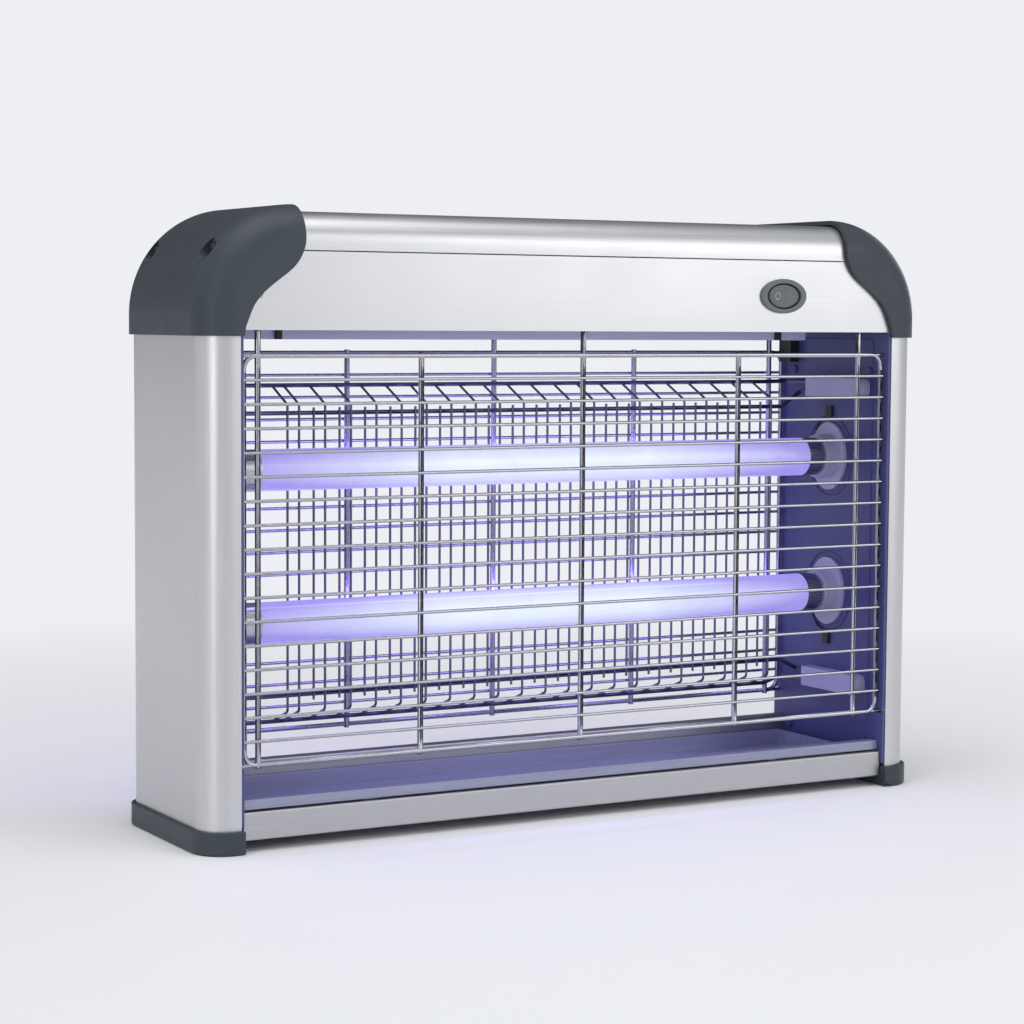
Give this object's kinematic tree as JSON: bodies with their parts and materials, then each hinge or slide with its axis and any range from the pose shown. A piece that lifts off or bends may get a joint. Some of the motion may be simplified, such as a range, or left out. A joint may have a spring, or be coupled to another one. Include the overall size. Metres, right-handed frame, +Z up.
{
  "type": "electric bug zapper",
  "caption": "Free-standing electric bug zapper: UV lamps and a high-voltage wire grid in an aluminium frame, wire guards front and rear, and a catch tray below.",
  "frame": {"origin": "on the floor, at the middle of the footprint of the feet", "axes": "+X along the width to the right as seen from the front, where the switch is; +Y to the back; +Z up"},
  "size_m": [0.527, 0.134, 0.384],
  "materials": {
    "brushed_aluminium": "satin",
    "slate_plastic": "matte",
    "liner_plastic": "satin",
    "guard_chrome": "polished",
    "grid_steel": "satin",
    "lamp_glass": "phosphor coated",
    "lamp_cap_metal": "satin",
    "holder_plastic": "satin",
    "rotor_plastic": "satin",
    "insulator_plastic": "satin",
    "tray_paint": "satin",
    "channel_paint": "satin",
    "switch_plastic": "satin",
    "black_plastic": "matte",
    "zinc_steel": "zinc plated",
    "ballast_paint": "gloss",
    "starter_plastic": "satin",
    "board_laminate": "satin",
    "capacitor_film": "gloss",
    "lead_rubber": "matte"
  },
  "bodies": {
    "housing": {"cable_gland": "black_plastic", "cap_screws": "zinc_steel", "channel_clips": "black_plastic", "channel_screws": "zinc_steel", "cover_screws": "zinc_steel", "foot_screws": "zinc_steel", "front_panel": "brushed_aluminium", "front_rail": "brushed_aluminium", "gear_channel": "channel_paint", "gland_nut": "black_plastic", "grid_long_wires": "grid_steel", "grid_short_wires": "grid_steel", "grid_wire_ends": "grid_steel", "high_voltage_board": "board_laminate", "interlock_switch": "black_plastic", "lamp_leads": "lead_rubber", "lead_clips": "black_plastic", "left_corner_cap": "slate_plastic", "left_end_bracket": "zinc_steel", "left_foot": "slate_plastic", "left_side_liner": "liner_plastic", "left_side_post": "brushed_aluminium", "liner_screws": "zinc_steel", "lower_lamp_ballast": "ballast_paint", "lower_left_insulator": "insulator_plastic", "lower_left_lampholder": "holder_plastic", "lower_right_insulator": "insulator_plastic", "lower_right_lampholder": "holder_plastic", "lower_starter": "starter_plastic", "multiplier_capacitors": "capacitor_film", "panel_screws": "zinc_steel", "rail_screws": "zinc_steel", "rear_panel": "brushed_aluminium", "rear_rail": "brushed_aluminium", "right_corner_cap": "slate_plastic", "right_end_bracket": "zinc_steel", "right_foot": "slate_plastic", "right_side_liner": "liner_plastic", "right_side_post": "brushed_aluminium", "starter_sockets": "black_plastic", "step_up_transformer": "zinc_steel", "switch_bezel": "switch_plastic", "terminal_block": "black_plastic", "top_cover": "brushed_aluminium", "upper_lamp_ballast": "ballast_paint", "upper_left_insulator": "insulator_plastic", "upper_left_lampholder": "holder_plastic", "upper_right_insulator": "insulator_plastic", "upper_right_lampholder": "holder_plastic", "upper_starter": "starter_plastic"},
    "tray": {"catch_tray": "tray_paint"},
    "front_guard_body": {"front_guard": "guard_chrome"},
    "rear_guard_body": {"rear_guard": "guard_chrome"},
    "upper_lamp": {"upper_lamp_tube": "lamp_glass", "upper_lamp_caps": "lamp_cap_metal", "upper_lamp_rotors": "rotor_plastic"},
    "lower_lamp": {"lower_lamp_tube": "lamp_glass", "lower_lamp_caps": "lamp_cap_metal", "lower_lamp_rotors": "rotor_plastic"},
    "rocker": {"switch_rocker": "switch_plastic"}
  },
  "joints": [
    {"name": "tray_slide", "type": "slide", "parent": "housing", "child": "tray", "axis": [0, -0.9772, 0.2122], "range_m": [0, 0.125]},
    {"name": "front_guard_swing", "type": "hinge", "parent": "housing", "child": "front_guard_body", "pos_m": [0, -0.0576, 0.2944], "axis": [-1, 0, 0], "range_deg": [0, 95]},
    {"name": "rear_guard_swing", "type": "hinge", "parent": "housing", "child": "rear_guard_body", "pos_m": [0, 0.0576, 0.2944], "axis": [1, 0, 0], "range_deg": [0, 95]},
    {"name": "upper_lamp_twist", "type": "hinge", "parent": "housing", "child": "upper_lamp", "pos_m": [0.004, 0, 0.2232], "axis": [1, 0, 0], "range_deg": [0, 90]},
    {"name": "lower_lamp_twist", "type": "hinge", "parent": "housing", "child": "lower_lamp", "pos_m": [0.004, 0, 0.1287], "axis": [1, 0, 0], "range_deg": [0, 90]},
    {"name": "rocker_tilt", "type": "hinge", "parent": "housing", "child": "rocker", "pos_m": [0.1478, -0.062, 0.333], "axis": [0, 0, 1], "range_deg": [-12, 0]}
  ]
}
